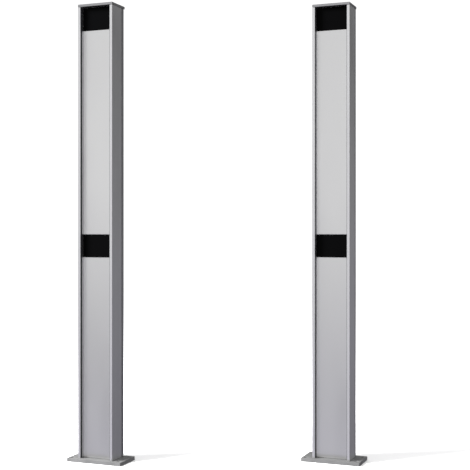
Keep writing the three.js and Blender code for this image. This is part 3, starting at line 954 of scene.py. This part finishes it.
def add_board_parts(post):
    """Everything that stands on the controller board."""
    low, high = post.span("controller_board")
    middle = post.centre("controller_board")
    for name, (size, places) in BOARD_PARTS.items():
        shapes = [board_part(size, middle.x + a * MM, high.y, middle.z + up * MM) for a, up in places]
        add_piece(post, f"board_{name}", joined(shapes), "black_plastic", "controller_board")
    cans = [capacitor(middle.x + CAPACITOR["across"], high.y, middle.z + up) for up in CAPACITOR_LEVELS]
    add_piece(post, "board_capacitors", joined(cans), "chrome", "controller_board")
    places = corner_places(low, high, SCREW_INSET["board"], high.y)
    add_screws(post, "board_screws", places, SCREW_RADIUS["board"], "controller_board")


def capacitor(x, y, z):
    """A can with the crimp groove near its foot and a slightly dished top."""
    radius, top, edge = CAPACITOR["radius"], CAPACITOR["height"], CAPACITOR["edge"]
    foot, groove = CAPACITOR["foot"], CAPACITOR["groove"]
    profile = [
        (0, 0), (radius, 0), (radius, foot), (radius - groove, foot + groove),
        (radius, foot + 2 * groove), (radius, top - edge), (radius - edge, top),
        (radius - 2 * edge, top - edge / 2), (0, top - edge / 2),
    ]
    return turned(profile, Vector((x, y, z)), "y", 32)


POLES = 8
TERMINAL = in_mm(
    above_middle=2,  # the wells' level
    well=2.4, well_depth=3, screw=2.1, slot_half_length=3, slot_half_width=0.35,
    screw_foot=-2.9, screw_face=-1.2, slot_floor=-1.9,  # levels from the block's face
    entry=2.2, entry_height=4, skin=3, rounding=0.25,
)


def add_terminal_block(post):
    """A row of screw terminals: a screw in its well over each wire entry."""
    low, high = post.span("terminal_block")
    pitch = (high.x - low.x) / POLES
    middles = [low.x + pitch * (i + 0.5) for i in range(POLES)]
    level = (low.z + high.z) / 2 + TERMINAL["above_middle"]
    entry, skin, floor = TERMINAL["entry"], TERMINAL["skin"], low.z + TERMINAL["entry_height"]
    tools = []
    heads = []
    for x in middles:
        tools.append(rod(TERMINAL["well"], Vector((x, high.y, level)), -TERMINAL["well_depth"], MM, "y", 24))
        tools.append(block((x - entry, low.y + skin, low.z - MM), (x + entry, high.y - skin, floor)))
        heads.append(slotted_head(Vector((x, high.y, level))))
    block_shape = carved(cad_shape(post, "terminal_block"), tools)
    stand_for(post, "terminal_block", softened(block_shape, TERMINAL["rounding"]))
    add_piece(post, "terminal_screws", joined(heads), "zinc_plate", "terminal_block")


def slotted_head(centre):
    """A terminal's screw, down in its well, with a slot across it."""
    head = rod(TERMINAL["screw"], centre, TERMINAL["screw_foot"], TERMINAL["screw_face"], "y", 24)
    reach = Vector((TERMINAL["slot_half_length"], 0, TERMINAL["slot_half_width"]))
    floor = Vector((0, TERMINAL["slot_floor"], 0))
    return carved(head, [block(centre - reach + floor, centre + reach)])


VENT_ROWS, VENT_COLUMNS = 14, 3
VENTS = in_mm(half_width=8, half_height=1.4, margin=22, depth=2)
SUPPLY_ROUNDING = 0.4 * MM


def add_power_supply(post):
    """A sheet-metal case with rows of cooling slots in its back and a screw at each corner."""
    low, high = post.span("power_supply")
    pitch = (high.x - low.x) / VENT_COLUMNS
    rise = (high.z - low.z - 2 * VENTS["margin"]) / (VENT_ROWS - 1)
    reach = Vector((VENTS["half_width"], VENTS["depth"], VENTS["half_height"]))
    vents = []
    for row in range(VENT_ROWS):
        for column in range(VENT_COLUMNS):
            middle = Vector((low.x + pitch * (column + 0.5), high.y, low.z + VENTS["margin"] + rise * row))
            vents.append(block(middle - reach, middle + reach))
    case = carved(cad_shape(post, "power_supply"), vents)
    stand_for(post, "power_supply", softened(case, SUPPLY_ROUNDING))
    places = corner_places(low, high, SCREW_INSET["supply"], high.y)
    add_screws(post, "supply_screws", places, SCREW_RADIUS["supply"], "power_supply")


SOUNDER = in_mm(
    flange=2, waist_foot=2.4, waist_depth=0.8, edge=1, dish=6.4, dish_depth=0.7, mouth=3, mouth_depth=3,
)


def add_sounder(post):
    """A round buzzer can with a sound hole in a stepped face."""
    low, high = post.span("sounder")
    middle = post.centre("sounder")
    centre = Vector((middle.x, low.y, middle.z))
    radius, depth = (high.x - low.x) / 2, high.y - low.y
    waist, edge = radius - SOUNDER["waist_depth"], SOUNDER["edge"]
    dish, dish_floor = SOUNDER["dish"], depth - SOUNDER["dish_depth"]
    mouth, mouth_floor = SOUNDER["mouth"], depth - SOUNDER["mouth_depth"]
    profile = [
        (0, 0), (radius, 0), (radius, SOUNDER["flange"]), (waist, SOUNDER["waist_foot"]),
        (waist, depth - edge), (waist - edge, depth), (dish + 0.6 * MM, depth), (dish, dish_floor),
        (mouth + 0.4 * MM, dish_floor), (mouth, dish_floor - 0.5 * MM), (mouth, mouth_floor),
        (0, mouth_floor),
    ]
    stand_for(post, "sounder", turned(profile, centre, "y"))


CABLE_RADIUS = 2.2 * MM
CABLE_LANE = -12 * MM  # the long cable's place on y as it runs up the column
COLUMN_WALL = 2.5 * MM
TIE_COUNT = 5
TIE = in_mm(
    lowest=620, pitch=180, half_width=1.5, gap=0.1, thickness=0.8, pad_half_width=5, pad_half_height=6,
    pad_overlap=0.2,
)


def add_cables(post):
    """Each cable's CAD tube made round, with ties that hold the long one to the column's wall."""
    for part in ("supply_cable", "top_sensor_cable", "middle_sensor_cable"):
        tube = cad_shape(post, part)
        bmesh.ops.remove_doubles(tube, verts=tube.verts, dist=SAME_POINT)
        piece = stand_for(post, part, tube)
        piece.modifiers.new("round", "SUBSURF").levels = 1
    ties = [tie for i in range(TIE_COUNT) for tie in cable_tie(post, TIE["lowest"] + TIE["pitch"] * i)]
    add_piece(post, "cable_ties", joined(ties), "black_plastic", "top_sensor_cable")


def cable_tie(post, level):
    """A loop round the top sensor's cable and the pad that it is threaded through, stuck to the column."""
    wall = post.span("column")[1].x - COLUMN_WALL - TIE["gap"]
    lane = Vector((post.span("top_sensor_cable")[1].x - CABLE_RADIUS, CABLE_LANE, level))
    inner = CABLE_RADIUS + TIE["gap"]
    outer = inner + TIE["thickness"]
    reach = TIE["half_width"]
    loop = turned([(inner, -reach), (outer, -reach), (outer, reach), (inner, reach)], lane, "z", 24)
    along, up = TIE["pad_half_width"], TIE["pad_half_height"]
    start = lane.x + outer - TIE["pad_overlap"]
    return loop, block((start, lane.y - along, lane.z - up), (wall, lane.y + along, lane.z + up))


# Camera, floor and light

CAMERA = {
    "distance": 3.44,  # in front of the line that joins the posts
    "height": 0.775, "lens": 79.3, "sensor": 36, "shift_x": 0.0373, "shift_y": -0.0161,
}
FLOOR = {"radius": 9.0, "drop": 0.2 * MM}  # the drop keeps it apart from the plates' undersides
KEY_LIGHT = {"place": (-3.0, -1.0, 2.8), "size": (1.4, 1.4), "power": 780}


def as_seen(x, y, z):
    """A place or a direction, given to the right of and beyond the gate's middle as the camera sees it."""
    return Matrix.Rotation(STAGGER, 4, "Z") @ Vector((x, y, z))


def add_camera():
    """Level camera square to the line that joins the posts. The shift frames the posts left of the middle."""
    data = bpy.data.cameras.new("camera")
    data.sensor_width = CAMERA["sensor"]
    data.lens = CAMERA["lens"]
    data.shift_x = CAMERA["shift_x"]
    data.shift_y = CAMERA["shift_y"]
    camera = bpy.data.objects.new("camera", data)
    camera.location = as_seen(0, -CAMERA["distance"], CAMERA["height"])
    camera.rotation_euler = (math.radians(90), 0, STAGGER)
    put_in_scene(camera)
    bpy.context.scene.camera = camera


def floor_material():
    """Matt white card, very slightly uneven."""
    material = new_material("studio_floor", (0.93, 0.93, 0.93), 0.9, specular=0.1)
    vary_color(material, add_noise(material, 40, detail=5), (0.92, 0.92, 0.925), (0.94, 0.94, 0.94))
    return material


def add_floor():
    """A pale sheet on the floor, much wider than the gate."""
    shape = bmesh.new()
    bmesh.ops.create_circle(shape, cap_ends=True, radius=FLOOR["radius"], segments=96)
    mesh = as_mesh(shape, "studio_floor")
    mesh.materials.append(floor_material())
    floor = bpy.data.objects.new("studio_floor", mesh)
    floor.location.z = -FLOOR["drop"]
    floor.visible_glossy = False  # the metal mirrors the room's lower half instead
    floor.visible_diffuse = False  # lit beyond white, it would light the plates' sides too strongly
    put_in_scene(floor)


def add_key_light():
    """A soft light high to the camera's left, aimed at the gate's middle on the floor."""
    data = bpy.data.lights.new("key", "AREA")
    data.shape = "RECTANGLE"
    data.size, data.size_y = KEY_LIGHT["size"]
    data.energy = KEY_LIGHT["power"]
    light = bpy.data.objects.new("key", data)
    light.location = as_seen(*KEY_LIGHT["place"])
    light.rotation_euler = (-light.location).to_track_quat("-Z", "Y").to_euler()
    light.visible_glossy = False
    put_in_scene(light)


# The room that the metal mirrors, as (sine of the elevation, brightness). The posts' fronts mirror its bright
# half towards the camera, and their right sides mirror its dim half.
BRIGHT_HALF = ((-0.5, 0.55), (-0.28, 0.74), (-0.16, 0.00), (-0.03, 1.06), (0.12, 0.87), (0.5, 0.66))
DIM_HALF = ((-0.5, 0.10), (-0.25, 0.11), (-0.12, 0.20), (0.05, 0.19), (0.2, 0.06), (0.45, 0.30), (0.8, 0.50))
# The cosines, from the bright half's middle, where the dim half ends and where the bright half is full
HALVES_MEET = (-0.7, 0.6)
LILAC = (1.02, 1.0, 1.16)
LILAC_BELOW = -0.1
WHITE = (1.0, 1.0, 1.0)
DOME_STRENGTH = 1.08


def glow(tree, height, stops):
    """The colour of one half of the room at a height."""
    ramp = tree.nodes.new("ShaderNodeValToRGB")
    ramp.color_ramp.interpolation = "EASE"
    marks = ramp.color_ramp.elements
    marks.remove(marks[1])
    low, high = stops[0][0], stops[-1][0]
    for i, (level, brightness) in enumerate(stops):
        mark = marks[0] if i == 0 else marks.new((level - low) / (high - low))
        tint = LILAC if level < LILAC_BELOW else WHITE
        mark.color = [brightness * share for share in tint] + [1.0]
    marks[0].position = 0.0
    tree.links.new(remapped(tree, height, low, high), ramp.inputs["Fac"])
    return ramp.outputs["Color"]


def mirrored_room(tree):
    """The background that the metal mirrors: its two halves, blended by direction."""
    direction = tree.nodes.new("ShaderNodeTexCoord").outputs["Generated"]
    facing = tree.nodes.new("ShaderNodeVectorMath")
    facing.operation = "DOT_PRODUCT"
    view = as_seen(0, 1, 0)
    facing.inputs[1].default_value = (view.x, -view.y, 0)
    tree.links.new(direction, facing.inputs[0])
    split = tree.nodes.new("ShaderNodeSeparateXYZ")
    tree.links.new(direction, split.inputs["Vector"])
    blend = tree.nodes.new("ShaderNodeMix")
    blend.data_type = "RGBA"
    tree.links.new(remapped(tree, facing.outputs["Value"], *HALVES_MEET), blend.inputs["Factor"])
    tree.links.new(glow(tree, split.outputs["Z"], DIM_HALF), blend.inputs["A"])
    tree.links.new(glow(tree, split.outputs["Z"], BRIGHT_HALF), blend.inputs["B"])
    room = tree.nodes.new("ShaderNodeBackground")
    tree.links.new(blend.outputs["Result"], room.inputs["Color"])
    return room.outputs["Background"]


def add_world():
    """A white dome, which the metal sees as a room instead, bright to the front and dim to the back."""
    world = bpy.data.worlds.new("studio")
    world.use_nodes = True
    tree = world.node_tree
    dome = tree.nodes["Background"]
    set_inputs(dome, {"Color": (*WHITE, 1.0), "Strength": DOME_STRENGTH})
    seen = tree.nodes.new("ShaderNodeLightPath")
    mix = tree.nodes.new("ShaderNodeMixShader")
    tree.links.new(seen.outputs["Is Glossy Ray"], mix.inputs["Fac"])
    tree.links.new(dome.outputs["Background"], mix.inputs[1])
    tree.links.new(mirrored_room(tree), mix.inputs[2])
    tree.links.new(mix.outputs["Shader"], tree.nodes["World Output"].inputs["Surface"])
    bpy.context.scene.world = world


def build_post(post):
    add_plain_parts(post)
    add_painted_shade_strips(post)
    add_base_plate(post)
    add_foot_bracket(post)
    add_cable_gland(post)
    add_earth_stud(post)
    add_top_cap(post)
    add_rear_door(post)
    add_lower_pivot_pin(post)
    add_upper_pivot_pin(post)
    add_lock(post)
    for place in ("middle", "top"):
        add_sensor(post, place)
    add_chassis_screws(post)
    add_board_parts(post)
    add_terminal_block(post)
    add_power_supply(post)
    add_sounder(post)
    add_cables(post)


add_camera()
add_world()
add_floor()
add_key_light()
for each_post in POSTS:
    build_post(each_post)
bpy.context.scene.view_settings.view_transform = "Standard"
